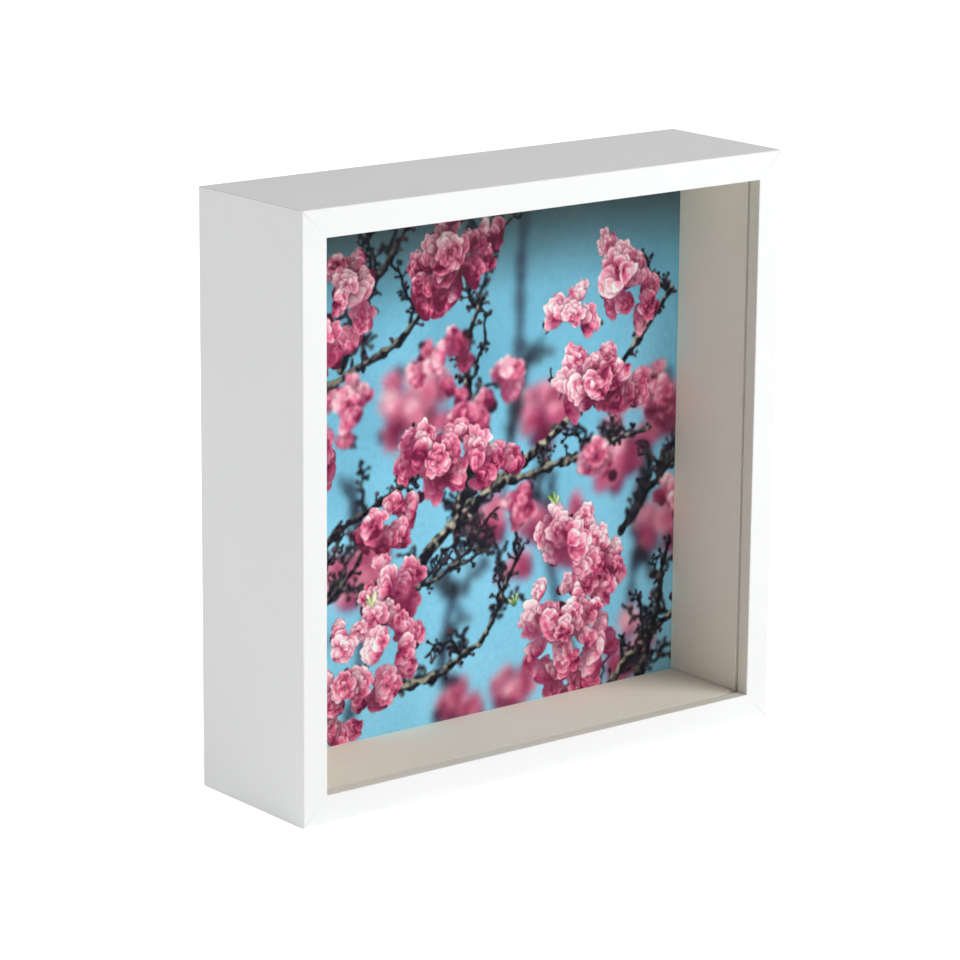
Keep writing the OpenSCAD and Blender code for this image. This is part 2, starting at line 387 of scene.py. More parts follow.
# %% Foil material
def make_foil():
    material, tree, shader = new_material("white_foil")
    place = add(tree, "TexCoord").outputs["Object"]
    x, y, z = add(tree, "SeparateXYZ", Vector=place).outputs
    from_x = math(tree, "ABSOLUTE", x)
    from_z = math(tree, "ABSOLUTE", math(tree, "SUBTRACT", z, middle.z))
    outward = math(tree, "MAXIMUM", from_x, from_z)

    wavy = add(tree, "TexNoise", Vector=place, Scale=45.0, Detail=4.0).outputs[0]
    foil_edge = math(tree, "MULTIPLY_ADD", wavy, 1.6 * MM, back_y - FOIL_TURNED_IN - 0.8 * MM)
    inner_wall = math(tree, "LESS_THAN", outward, half_inside + 0.1 * MM)
    behind_lip = math(tree, "GREATER_THAN", y, glass_low[1] + 0.1 * MM)
    bare = math(tree, "MULTIPLY", math(tree, "LESS_THAN", y, foil_edge),
                math(tree, "MULTIPLY", inner_wall, behind_lip))

    # Where the lip turns into the box its edge gets painted shade, grey-beige in place of the foil.
    sight = math(tree, "LESS_THAN", outward, half_opening + 0.05 * MM)
    lip_shade_mask = math(tree, "MULTIPLY", sight, math(tree, "GREATER_THAN", y, front_y + 0.5 * MM))

    # A hair line of painted shade along each mitre seam, strongest at the outer corners.
    along = math(tree, "SUBTRACT", math(tree, "SUBTRACT", size.x / 2, from_x),
                 math(tree, "SUBTRACT", size.z / 2, from_z))
    hair = spread(tree, math(tree, "ABSOLUTE", along), 0.05 * MM, 0.40 * MM, 1.0, 0.0)
    outer = spread(tree, outward, half_opening + 2 * MM, size.x / 2, 0.0, 1.0)
    mitre_shade_mask = math(tree, "MULTIPLY", math(tree, "MULTIPLY", hair, outer), 0.4)

    rub = use(tree, edge_rub, Centre=middle, Half_size=size / 2, Width=0.9 * MM, Ragged=0.8)
    grain = use(tree, speckle, Cloud_size=0.05, Speck_size=0.0005, Specks=0.35)
    board, board_height = board_look(tree)

    white = blend_colours(tree, math(tree, "MULTIPLY", grain["Value"], 0.5), FOIL, FOIL_DULL)
    worn = blend_colours(tree, math(tree, "MULTIPLY", rub["Mask"], 0.12), white, WORN_FOIL)
    with_mitre_shade = blend_colours(tree, mitre_shade_mask, worn, MITRE_SHADE)
    with_lip_shade = blend_colours(tree, lip_shade_mask, with_mitre_shade, LIP_SHADE)
    link(tree, blend_colours(tree, bare, with_lip_shade, board), shader, "Base Color")

    foil_rough = spread(tree, grain["Value"], 0.0, 1.0, 0.34, 0.46)
    rough = add(tree, "Mix", {"data_type": "FLOAT"}, i0=bare, i2=foil_rough, i3=0.85)
    link(tree, rough.outputs[0], shader, "Roughness")
    height = add(tree, "Mix", {"data_type": "FLOAT"}, i0=bare, i2=grain["Height"], i3=board_height)
    bump = add(tree, "Bump", Strength=0.12, Distance=0.05 * MM, Height=height.outputs[0])
    link(tree, bump.outputs[0], shader, "Normal")
    return material


white_foil = make_foil()
print("material:", white_foil.name)


# %% Dress the mouldings
def dress(names, material, soften=0.0):
    """Gives CAD pieces a material and, if asked, slightly rounded edges"""
    for name in names:
        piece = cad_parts[name]
        piece.data.materials.clear()
        piece.data.materials.append(material)
        if soften:
            bevel = piece.modifiers.new("soft_edges", "BEVEL")
            bevel.width = soften
            bevel.segments = 2
            bevel.limit_method = "ANGLE"
            bevel.angle_limit = radians(35)
            bevel.harden_normals = True
    print(material.name, "on", ", ".join(names))


SIDES = ("top", "bottom", "left", "right")
dress([f"moulding_{side}" for side in SIDES], white_foil, 0.18 * MM)

# %% [markdown]
# ## Glass
#
# A clear 2 mm pane. A real pane bends and reflects light, which the Principled
# shader's transmission gives. Light must also shine through it onto the print, so
# for the rays that gather light it is plain transparent: for shadow rays alone the
# same light would be counted twice, once straight and once as bent. Its reflections
# are kept low, as on picture glass with a coating, so that the print reads clearly:
# the IOR is 1.1 for that, where uncoated glass has about 1.5.

# %% Glass material
def make_glass():
    material, tree, shader = new_material("picture_glass")
    shader.inputs["Base Color"].default_value = (0.985, 1.0, 0.99, 1.0)
    shader.inputs["Metallic"].default_value = 0.0
    shader.inputs["Transmission Weight"].default_value = 1.0
    shader.inputs["IOR"].default_value = 1.1
    place = add(tree, "TexCoord").outputs["Object"]
    smear = add(tree, "TexNoise", Vector=place, Scale=28.0, Detail=5.0, Roughness=0.6)
    link(tree, spread(tree, smear.outputs[0], 0.45, 0.75, 0.0, 0.012), shader, "Roughness")
    through = add(tree, "BsdfTransparent", Color=(0.995, 1.0, 0.997, 1.0))
    ray = add(tree, "LightPath")
    lighting = math(tree, "MAXIMUM", ray.outputs["Is Shadow Ray"], ray.outputs["Is Diffuse Ray"])
    either = add(tree, "MixShader", i0=lighting, i1=shader.outputs[0], i2=through.outputs[0])
    tree.links.new(either.outputs[0], tree.nodes["Material Output"].inputs["Surface"])
    return material


AIR_GAP = 0.02 * MM

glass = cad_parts["glass_pane"]
shrink = glass.modifiers.new("air_gap", "DISPLACE")
shrink.strength = -AIR_GAP
shrink.mid_level = 0.0
dress(["glass_pane"], make_glass(), 0.15 * MM)

# %% [markdown]
# ## Spacer strips
#
# The strips are board faced with matt grey-beige paper. The paper has a faint
# cloudiness and short fibres, and along the front cut edge the paler core of the
# board shows as a thin line.

# %% Spacer paper
PAPER = linear(237, 232, 217)
PAPER_SHADE = linear(231, 225, 209)
CORE = linear(243, 240, 228)


def make_spacer_paper():
    material, tree, shader = new_material("matt_lining")
    place = add(tree, "TexCoord").outputs["Object"]
    y = add(tree, "SeparateXYZ", Vector=place).outputs[1]
    tone = use(tree, speckle, Cloud_size=0.035, Speck_size=0.0008, Specks=0.3)
    hairs = use(tree, fibres, Length=0.003, Thinness=8.0)
    paper = blend_colours(tree, tone["Value"], PAPER_SHADE, PAPER)
    paper = blend_colours(tree, math(tree, "MULTIPLY", hairs["Value"], 0.12), paper, CORE)
    cut = math(tree, "LESS_THAN", y, spacer_low[1] + 0.35 * MM)
    link(tree, blend_colours(tree, cut, paper, CORE), shader, "Base Color")
    link(tree, spread(tree, tone["Value"], 0.0, 1.0, 0.72, 0.86), shader, "Roughness")
    height = math(tree, "ADD", tone["Height"], hairs["Height"])
    bump = add(tree, "Bump", Strength=0.1, Distance=0.05 * MM, Height=height)
    link(tree, bump.outputs[0], shader, "Normal")
    return material


dress([f"spacer_{side}" for side in SIDES], make_spacer_paper(), 0.2 * MM)

# %% [markdown]
# ## Backboard
#
# The back is raw brown fibreboard: dense, matt, with paler hairs and dark specks,
# and a little darker along its sawn edges.

# %% Backboard material
SAWN_EDGE = linear(92, 66, 42)


def make_backboard():
    material, tree, shader = new_material("raw_fibreboard")
    board, height = board_look(tree)
    centre = (Vector(board_low) + Vector(board_high)) / 2
    half = (Vector(board_high) - Vector(board_low)) / 2
    rub = use(tree, edge_rub, Centre=centre, Half_size=half, Width=1.6 * MM, Ragged=0.7)
    edge = blend_colours(tree, math(tree, "MULTIPLY", rub["Mask"], 0.5), board, SAWN_EDGE)
    link(tree, edge, shader, "Base Color")
    shader.inputs["Roughness"].default_value = 0.82
    bump = add(tree, "Bump", Strength=0.5, Distance=0.08 * MM, Height=height)
    link(tree, bump.outputs[0], shader, "Normal")
    return material


dress(["backboard"], make_backboard(), 0.25 * MM)

# %% [markdown]
# ## Steel parts
#
# The tabs, their roots and the corner nails are cut from rolled strip, the
# hangers are pressed and zinc plated, and the rivets are aluminium. They share
# the rolling lines and smudges, with their own colour, direction and shine.

# %% Steel materials
def make_metal(name, colour, dull, stretch, rough_low, rough_high, strength):
    material, tree, shader = new_material(name)
    marks = use(tree, rolling_lines, Stretch=stretch, Smudge_size=0.005)
    tint = math(tree, "MULTIPLY", marks["Smudge"], 0.6)
    link(tree, blend_colours(tree, tint, colour, dull), shader, "Base Color")
    shader.inputs["Metallic"].default_value = 1.0
    both = math(tree, "MULTIPLY_ADD", marks["Lines"], 0.5, math(tree, "MULTIPLY", marks["Smudge"], 0.5))
    link(tree, spread(tree, both, 0.0, 1.0, rough_low, rough_high), shader, "Roughness")
    bump = add(tree, "Bump", Strength=strength, Distance=0.02 * MM, Height=marks["Lines"])
    link(tree, bump.outputs[0], shader, "Normal")
    return material


strip_steel = make_metal("spring_strip", linear(186, 188, 192), linear(148, 150, 154),
                         (60.0, 1.0, 60.0), 0.26, 0.48, 0.35)
nail_steel = make_metal("nail_strip", linear(160, 162, 166), linear(118, 120, 124),
                        (60.0, 1.0, 60.0), 0.35, 0.55, 0.3)
zinc_plate = make_metal("zinc_plate", linear(206, 204, 196), linear(170, 168, 158),
                        (1.0, 30.0, 30.0), 0.28, 0.5, 0.25)
rivet_metal = make_metal("rivet_aluminium", linear(216, 218, 222), linear(186, 188, 194),
                         (8.0, 8.0, 8.0), 0.22, 0.4, 0.15)

tabs = [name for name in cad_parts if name.startswith("tab_") and name != "tab_roots"]
dress(tabs + ["tab_roots"], strip_steel, 0.08 * MM)
dress(["corner_nails"], nail_steel, 0.06 * MM)
dress(["hanger_top", "hanger_side"], zinc_plate, 0.2 * MM)
dress(["hanger_rivets"], rivet_metal, 0.2 * MM)

# %% [markdown]
# ## The picture
#
# The picture is printed on paper: pink double blossoms on knotty twigs, in
# front of a blue sky. It could be drawn by shader noise, but noise alone has no
# petals. So it is painted here as an illustrator would, back to front: sky,
# blurred far blossoms, twigs, softer blossoms and at last the sharp ones. Each
# petal is laid on a canvas of numbers, and the canvas becomes the colours of the
# print's own vertices. Every draw comes from a seeded generator.

# %% Canvas and soft noise
CELLS = 560


def soft_noise(size, seed):
    """Canvas of smooth noise, mean 0 and spread 1, with features `size` cells across"""
    draws = np.random.default_rng(seed).standard_normal((CELLS, CELLS))
    return standard(blurred(draws, size * 0.9))


def standard(canvas):
    return (canvas - canvas.mean()) / canvas.std()


def blurred(canvas, spread_cells):
    """Gaussian blur of one canvas, or of each of its colours"""
    if canvas.ndim == 3:
        return np.stack([blurred(canvas[..., i], spread_cells) for i in range(canvas.shape[2])], -1)
    waves = np.fft.fftfreq(CELLS)
    keep = np.exp(-2 * (pi * spread_cells) ** 2 * (waves[:, None] ** 2 + waves[None, :] ** 2))
    return np.fft.ifft2(np.fft.fft2(canvas) * keep).real


def paint(*parts):
    """A colour, 0 to 255 each, as the canvas holds it"""
    return np.array(parts, float) / 255


def mixed(first, second, share):
    """From the first colour to the second, as share goes from 0 to 1"""
    share = np.clip(share, 0, 1)[..., None]
    return first * (1 - share) + second * share


DOWN = np.mgrid[0:CELLS, 0:CELLS][0] / (CELLS - 1)
FINE, MEDIUM, WIDE = soft_noise(2.2, 1), soft_noise(7, 2), soft_noise(28, 3)
print("canvas:", CELLS, "cells a side,", round((print_high[0] - print_low[0]) / MM / CELLS, 2), "mm each")

# %% [markdown]
# Paint goes onto a clear layer, and a finished layer goes onto the picture,
# blurred if it is out of focus. `window` picks the small square of the canvas
# round a spot, so that laying one petal costs little.

# %% Layers
class Layer:
    def __init__(self):
        self.colour = np.zeros((CELLS, CELLS, 3))
        self.cover = np.zeros((CELLS, CELLS))

    def window(self, x, y, reach):
        """The cells within reach of a spot, and how far each is from it"""
        left, right = max(0, int(x - reach)), min(CELLS, int(x + reach) + 2)
        top, bottom = max(0, int(y - reach)), min(CELLS, int(y + reach) + 2)
        if right <= left or bottom <= top:
            return None
        rows, columns = np.mgrid[top:bottom, left:right]
        return (slice(top, bottom), slice(left, right)), columns - x, rows - y

    def lay(self, window, colour, cover):
        share = cover[..., None]
        self.colour[window] = self.colour[window] * (1 - share) + colour * share
        self.cover[window] = self.cover[window] * (1 - cover) + cover

    def onto(self, picture, spread_cells=0.0):
        """The picture with this layer over it"""
        if not spread_cells:
            return mixed(picture, self.colour, self.cover)
        cover = blurred(self.cover, spread_cells)
        colour = blurred(self.colour * self.cover[..., None], spread_cells)
        return picture * (1 - cover[..., None]) + colour


print("one clear layer holds", Layer().cover.size, "cells")

# %% [markdown]
# ### A petal
#
# A petal is an outline that is narrow at its base and round and notched at its
# tip. Its shade runs from deep rose at the base to pale pink at the rim, with one
# side lighter than the other, faint veins, and a bright edge where it curls up.
# A thin shade round it parts it from the petals below.

# %% Petal
WINE, ROSE, PINK = paint(104, 26, 60), paint(190, 78, 116), paint(226, 128, 156)
PALE, BLUSH = paint(244, 182, 198), paint(255, 232, 232)
PETAL_TONES = (WINE, ROSE, PINK, PALE, BLUSH)
LEAF_TONES = (paint(30, 52, 30), paint(84, 118, 62), paint(140, 170, 96), paint(196, 212, 150), BLUSH)


def lay_petal(layer, x, y, angle, length, width, light, draw, tones=PETAL_TONES):
    """One petal with its base at x, y, lit as brightly as light says"""
    got = layer.window(x + cos(angle) * length / 2, y + sin(angle) * length / 2, length * 0.95)
    if got is None:
        return
    window, right, down = got
    right = right + cos(angle) * length / 2
    down = down + sin(angle) * length / 2
    along = (right * cos(angle) + down * sin(angle)) / length
    aside = (-right * sin(angle) + down * cos(angle)) / length
    aside = aside - draw.uniform(-0.25, 0.25) * along ** 2

    ripple = 1 + 0.07 * np.sin(9 * along + draw.uniform(0, 6))
    half = width * np.sqrt(np.clip(along, 0, 1)) * np.sqrt(np.clip(1 - along ** 4, 0, 1)) * ripple
    notch = draw.uniform(0, 0.12) * np.exp(-((aside / (0.3 * width)) ** 2))
    edge = np.minimum(half - np.abs(aside), 1 - notch - along) * length
    cover = np.clip(edge / 1.2 + 0.5, 0, 1) * np.clip(along * length + 0.5, 0, 1)
    below = np.clip(1 + edge / 3.5, 0, 1) ** 2 * np.clip(along * 3, 0, 1) * layer.cover[window]
    layer.colour[window] = mixed(layer.colour[window], tones[0], 0.30 * below)

    sideways = aside / np.maximum(half, 0.05)
    rim = np.clip(1 - edge / (0.14 * length), 0, 1) * np.clip(along, 0, 1)
    shade = 0.33 + 0.46 * along + 0.20 * sideways * draw.choice((-1, 1))
    shade = shade + 0.38 * rim + 0.12 * FINE[window] + 0.16 * MEDIUM[window]
    shade = shade + 0.06 * np.sin(sideways * 9 + FINE[window])
    shade = shade * (0.5 + 0.85 * light) - 0.42 * (1 - light)
    colour = mixed(tones[0] * np.ones(3), tones[1], shade / 0.30)
    for place, (start, run) in enumerate(((0.26, 0.34), (0.60, 0.36), (1.00, 0.40))):
        colour = mixed(colour, tones[place + 2], (shade - start) / run)
    layer.lay(window, colour, cover)


print("petal tones from base to rim:", len(PETAL_TONES))


# %% Shade
def lay_shade(layer, x, y, reach, strength, colour):
    """A soft dark spot, only where the layer already has paint"""
    got = layer.window(x, y, reach * 1.5)
    if got is None:
        return
    window, right, down = got
    share = strength * np.clip(1.35 - np.hypot(right, down) / reach, 0, 1) * layer.cover[window]
    layer.colour[window] = mixed(layer.colour[window], colour, share)


print("petals and shade ready")

# %% [markdown]
# ### A blossom
#
# A double blossom has three rings of petals. The outer ring is laid first, and a
# shade goes between rings, so that the inner petals stand off it. It is seen from
# a random side: petals that point along the tilt are shorter and look wider. Four
# in ten are seen edge on, as a fan with no eye.

# %% Blossom from the side
FAN_RINGS = ((7, 1.35), (6, 1.15), (4, 0.85))


def lay_fan(layer, x, y, radius, light, draw):
    """A blossom from the side: petals fan out one way from its base"""
    towards = draw.uniform(-pi, 0.3)
    base_x, base_y = x - cos(towards) * radius * 0.45, y - sin(towards) * radius * 0.45
    for count, reach in FAN_RINGS:
        lay_shade(layer, base_x, base_y, radius * reach, 0.3, WINE)
        for _ in range(count):
            angle = towards + draw.uniform(-1.15, 1.15)
            lit = light + 0.24 * cos(angle + 2.2) + draw.uniform(-0.24, 0.24)
            length = radius * reach * draw.uniform(0.75, 1.05)
            lay_petal(layer, base_x, base_y, angle, length, draw.uniform(0.3, 0.5), lit, draw)


print("petals in a fan:", sum(count for count, _ in FAN_RINGS))

# %% Blossom from the front
RINGS = ((7, 1.0, 0.52), (6, 0.76, 0.50), (5, 0.50, 0.50))
STAMEN = paint(252, 214, 170)
FAN_SHARE = 0.4


def lay_blossom(layer, x, y, radius, light, draw):
    if draw.random() < FAN_SHARE:
        lay_fan(layer, x, y, radius, light, draw)
        return
    face, lean = draw.uniform(0.55, 1.0), draw.uniform(0, 2 * pi)
    shift = (1 - face) * radius * 0.5
    lay_shade(layer, x + radius * 0.1, y + radius * 0.25, radius * 1.15, 0.6, WINE * 0.6)
    for ring, (count, reach, width) in enumerate(RINGS):
        start = draw.uniform(0, 2 * pi)
        if ring:
            lay_shade(layer, x, y, radius * reach, 0.32, WINE)
        step = shift * ring / 2
        ring_x, ring_y = x + cos(lean) * step, y + sin(lean) * step
        for place in draw.permutation(count):
            angle = start + (place + draw.uniform(-0.3, 0.3)) * 2 * pi / count
            squash = face + (1 - face) * abs(sin(angle - lean))
            lit = light + 0.24 * cos(angle + 2.2) + draw.uniform(-0.24, 0.24) + 0.03 * ring
            length = radius * reach * squash * draw.uniform(0.82, 1.15)
            wide = width * draw.uniform(0.85, 1.15) / max(squash, 0.65)
            lay_petal(layer, ring_x, ring_y, angle, length, wide, lit, draw)
    centre_x, centre_y = x + cos(lean) * shift, y + sin(lean) * shift
    lay_shade(layer, centre_x, centre_y, radius * 0.18, 0.6, WINE)
    for _ in range(6):
        angle, out = draw.uniform(0, 2 * pi), radius * draw.uniform(0.03, 0.2)
        got = layer.window(centre_x + cos(angle) * out, centre_y + sin(angle) * out, 2)
        if got:
            window, right, down = got
            layer.lay(window, STAMEN * np.ones(3), 0.6 * np.clip(1.1 - np.hypot(right, down), 0, 1))


print("petals in a blossom:", sum(count for count, _, _ in RINGS))

# %% [markdown]
# ### Twigs
#
# A twig is a chain of short overlapping dabs along listed bends. Knots
# make some dabs wider, lichen lightens its upper side, and short spurs leave it,
# each with a knot of buds. Thin side twigs wander off the main ones.

# %% Dabs and spurs
BARK, LICHEN = paint(14, 13, 24), paint(186, 180, 156)


def lay_dab(layer, spot, half, bark, pale, lichen):
    got = layer.window(*spot, half + 2)
    if got is None:
        return
    window, right, down = got
    cover = np.clip(half - np.hypot(right, down) + 0.5, 0, 1)
    upward = -(right * 0.5 + down * 0.86) / max(half, 1)
    lit = np.clip(0.25 + 0.75 * upward + 0.4 * FINE[window], 0, 1) * lichen
    layer.lay(window, mixed(bark * np.ones(3), pale, lit), cover)


def lay_spur(layer, spot, way, half, draw):
    """A short side shoot that ends in a knot of buds"""
    length = draw.uniform(3, 12)
    here = spot
    for step in range(int(length)):
        here = spot + way * step + np.array((0.0, -0.012 * step ** 2))
        lay_dab(layer, here, max(half * 0.45 * (1 - step / length / 2), 0.9), BARK, LICHEN, 0.3)
    for _ in range(draw.integers(1, 5)):
        bud = here + draw.normal(0, 1.6, 2)
        lay_dab(layer, bud, draw.uniform(1.1, 2.3), BARK, draw.choice((LICHEN, PINK)), 0.5)


print("a twig is made of dabs and spurs")


# %% Twig
STEP = 1.2


def lay_twig(layer, bends, thick, thin, draw, bark=BARK, pale=LICHEN, lichen=0.55, spurs=0.0):
    """A twig through bends, places from 0 to 1. Its thick and thin ends are in cells"""
    points = np.array(bends, float) * CELLS
    for leg, (start, end) in enumerate(zip(points, points[1:])):
        length = hypot(*(end - start))
        along = (end - start) / length
        aside = np.array((-along[1], along[0]))
        for step in range(int(length / STEP)):
            gone = (leg + step * STEP / length) / (len(points) - 1)
            half = thick + (thin - thick) * gone
            sway = 1.6 * sin(gone * 17 + thick) + draw.normal(0, 0.3)
            spot = start + along * step * STEP + aside * sway
            half = half * (1 + 0.22 * sin(gone * 60 + leg)) + abs(draw.normal(0, 0.25))
            if draw.random() < 0.05:
                half *= 1.6
            lay_dab(layer, spot, half, bark, pale, lichen)
            if draw.random() < spurs:
                lay_spur(layer, spot, aside * draw.choice((-1, 1)) + along * 0.5, half, draw)


print("one dab every", STEP, "cells")


# %% Side twigs
def lay_side_twigs(layer, bends, count, draw, half=1.6):
    """Thin knotty side twigs that wander upward from a main one"""
    points = np.array(bends, float)
    for _ in range(count):
        leg = draw.integers(0, len(points) - 1)
        here = points[leg] + (points[leg + 1] - points[leg]) * draw.random()
        heading = draw.uniform(-2.6, -0.5)
        path = [tuple(here)]
        for _ in range(draw.integers(2, 5)):
            heading += draw.normal(0, 0.35)
            here = here + np.array((cos(heading), sin(heading))) * draw.uniform(0.02, 0.05)
            path.append(tuple(here))
        lay_twig(layer, path, half * draw.uniform(0.8, 1.3), half * 0.6, draw, lichen=0.3, spurs=0.22)


print("side twigs ready")

# %% [markdown]
# ### The whole picture
#
# Each plane is a list of clusters: where its middle is, how long and wide it is,
# which way it leans, how many blossoms it has and how bright they are. Places run
# from 0 at the left or top to 1 at the right or bottom. The blossoms in a cluster
# keep a little apart, and the outer ones are laid first and are darker below.

# %% Lay a cluster
def lay_cluster(layer, middle_at, half_sizes, lean, count, light, sizes, apart, draw):
    spots = []
    for _ in range(count * 14):
        angle, out = draw.uniform(0, 2 * pi), draw.random() ** 0.5
        x, y = cos(angle) * out * half_sizes[0], sin(angle) * out * half_sizes[1]
        spot = x * cos(lean) - y * sin(lean), x * sin(lean) + y * cos(lean)
        if all(hypot(spot[0] - other[0], spot[1] - other[1]) > apart for _, other in spots):
            spots.append((out, spot))
        if len(spots) == count:
            break
    for out, (x, y) in spots:
        nudge = draw.normal(0, 0.012, 2)
        spot = np.array((middle_at[0] + x + nudge[0], middle_at[1] + y + nudge[1])) * CELLS
        lay_dab(layer, spot, draw.uniform(6, 13) * (1 - 0.4 * out), BARK, WINE, 0.9)
        lay_spur(layer, spot, draw.normal(0, 0.7, 2), 5, draw)
    for out, (x, y) in sorted(spots, reverse=True):
        radius = draw.uniform(*sizes) * (1 - 0.15 * out)
        below = 2.2 * (0.35 * x + y)
        lit = light - below - 0.10 * out + draw.uniform(-0.10, 0.10)
        lay_blossom(layer, (middle_at[0] + x) * CELLS, (middle_at[1] + y) * CELLS, radius, lit, draw)


print("clusters ready")

# %% Sky and far plane
# The darkest, greyest sky at the very top is painted shadow of the frame's top wall over the picture's
# own sky.
SKY_TOP_SHADOWED, SKY_HIGH, SKY_LOW = paint(72, 94, 98), paint(100, 160, 184), paint(138, 200, 226)
FAR_TWIGS = (
    [(0.62, -0.02), (0.60, 0.35), (0.57, 0.62)],
    [(1.02, 0.62), (0.90, 0.75), (0.86, 1.02)],
    [(0.20, 1.02), (0.27, 0.72), (0.22, 0.50)],
    [(0.45, 1.02), (0.43, 0.86), (0.46, 0.74)],
    [(0.77, 1.00), (0.70, 0.80), (0.66, 0.62)],
    [(0.97, 0.40), (0.90, 0.62), (0.94, 0.80)],
    [(0.10, 0.98), (0.16, 0.80), (0.10, 0.62)],
)
FAR_CLUSTERS = (
    (0.36, 0.40, 0.09, 13), (0.92, 0.47, 0.09, 13), (0.70, 0.68, 0.08, 12), (0.24, 0.68, 0.07, 9),
    (0.97, 0.70, 0.06, 8), (0.48, 0.97, 0.05, 6), (0.60, 0.96, 0.04, 5), (0.53, 0.63, 0.05, 5),
    (0.84, 0.56, 0.06, 8), (0.05, 0.55, 0.05, 7), (0.68, 0.44, 0.06, 7), (0.60, 0.72, 0.02, 2),
    (0.88, 0.92, 0.07, 8), (0.08, 0.92, 0.06, 7),
)


def paint_far_plane():
    draw = np.random.default_rng(5)
    sky = mixed(SKY_HIGH, SKY_LOW, 0.05 + 0.9 * DOWN - 0.10 * WIDE)
    picture = mixed(SKY_TOP_SHADOWED * np.ones(3), sky, (DOWN + 0.02) / 0.22)
    far = Layer()
    for bends in FAR_TWIGS:
        lay_twig(far, bends, 4.0, 2.5, draw, paint(50, 66, 86), paint(110, 130, 135), 0.3)
        lay_side_twigs(far, bends, 4, draw, 2.2)
    for x, y, reach, count in FAR_CLUSTERS:
        light = draw.uniform(0.5, 0.8)
        lay_cluster(far, (x, y), (reach, reach * 0.8), 0.0, count, light, (16, 22), 0.02, draw)
    return far.onto(picture, 4.5)


print("far plane:", len(FAR_TWIGS), "twigs and", len(FAR_CLUSTERS), "clusters")

# %% Twigs and middle plane
TWIGS = (
    ([(-0.02, 0.40), (0.10, 0.36), (0.22, 0.31), (0.33, 0.26), (0.44, 0.17), (0.60, 0.05)], 4.5, 2.0),
    ([(-0.02, 0.80), (0.10, 0.66), (0.22, 0.58), (0.36, 0.52), (0.50, 0.40)], 4.0, 2.0),
    ([(0.02, 0.78), (0.07, 0.62), (0.09, 0.50)], 3.5, 1.5),
    ([(0.28, 0.78), (0.40, 0.66), (0.55, 0.56), (0.70, 0.48), (0.82, 0.40), (0.98, 0.24)], 6.0, 2.5),
    ([(0.55, 0.56), (0.74, 0.54), (0.93, 0.50)], 4.0, 2.0),
    ([(0.86, 0.70), (0.93, 0.62), (1.02, 0.55)], 4.0, 2.5),
    ([(0.80, 1.02), (0.90, 0.94), (1.02, 0.86)], 4.5, 3.0),
    ([(0.90, 1.02), (0.95, 0.88), (0.98, 0.72)], 4.0, 2.0),
    ([(0.30, 0.92), (0.42, 0.90), (0.52, 0.86), (0.57, 0.78), (0.62, 0.68)], 3.5, 1.5),
    ([(0.46, 0.66), (0.50, 0.45), (0.48, 0.30), (0.52, 0.20)], 3.0, 2.0),
    ([(0.20, 0.30), (0.28, 0.14), (0.38, 0.02)], 4.0, 2.0),
    ([(-0.02, 0.95), (0.08, 0.88), (0.16, 0.80)], 5.0, 3.0),
    ([(0.12, 0.74), (0.20, 0.70), (0.28, 0.60)], 2.5, 1.5),
    ([(0.34, 0.74), (0.46, 0.70), (0.54, 0.68)], 2.5, 1.2),
)
MIDDLE_CLUSTERS = (
    (0.42, 0.31, 0.06, 8), (0.49, 0.42, 0.055, 7), (0.20, 0.38, 0.07, 9), (0.94, 0.44, 0.07, 9),
    (0.10, 0.70, 0.06, 7), (0.62, 0.60, 0.04, 4), (0.60, 0.36, 0.045, 4), (0.80, 0.55, 0.04, 4),
    (0.98, 0.66, 0.04, 4), (0.03, 0.30, 0.08, 9),
)


def paint_middle_plane(picture):
    draw = np.random.default_rng(6)
    branches = Layer()
    for bends, thick, thin in TWIGS:
        lay_side_twigs(branches, bends, 4, draw)
    picture = branches.onto(picture, 1.3)
    branches = Layer()
    for bends, thick, thin in TWIGS:
        lay_side_twigs(branches, bends, 3, draw)
        lay_twig(branches, bends, thick, thin, draw, lichen=draw.uniform(0.35, 1.0), spurs=0.07)
    picture = branches.onto(picture, 0.6)
    soft = Layer()
    for x, y, reach, count in MIDDLE_CLUSTERS:
        light = draw.uniform(0.5, 0.85)
        lay_cluster(soft, (x, y), (reach, reach * 0.8), 0.0, count, light, (13, 21), 0.02, draw)
    return soft.onto(picture, 1.5)


print("middle plane:", len(TWIGS), "twigs and", len(MIDDLE_CLUSTERS), "clusters")

# %% Sharp plane
NEAR_CLUSTERS = (
    (0.14, 0.20, 0.155, 0.10, -0.5, 24, 0.74), (0.02, 0.10, 0.08, 0.12, 0.2, 11, 0.45),
    (0.45, 0.12, 0.13, 0.075, -0.7, 16, 0.60), (0.86, 0.21, 0.10, 0.065, 1.0, 11, 0.90),
    (0.74, 0.26, 0.05, 0.035, 0.2, 4, 0.95), (0.80, 0.40, 0.11, 0.06, 0.15, 12, 0.85),
    (0.13, 0.46, 0.055, 0.05, 0.0, 7, 0.75), (0.46, 0.50, 0.14, 0.06, 0.2, 14, 0.65),
    (0.30, 0.60, 0.07, 0.045, -0.2, 6, 0.62), (0.31, 0.72, 0.08, 0.05, 0.3, 6, 0.70),
    (0.22, 0.87, 0.17, 0.11, -0.6, 26, 0.88), (0.76, 0.72, 0.12, 0.06, 0.8, 13, 0.95),
    (0.72, 0.88, 0.13, 0.11, 0.9, 21, 0.88),
)
CLUSTER_FIT = 0.92
SHOOTS = ((0.70, 0.62), (0.27, 0.745), (0.60, 0.80))


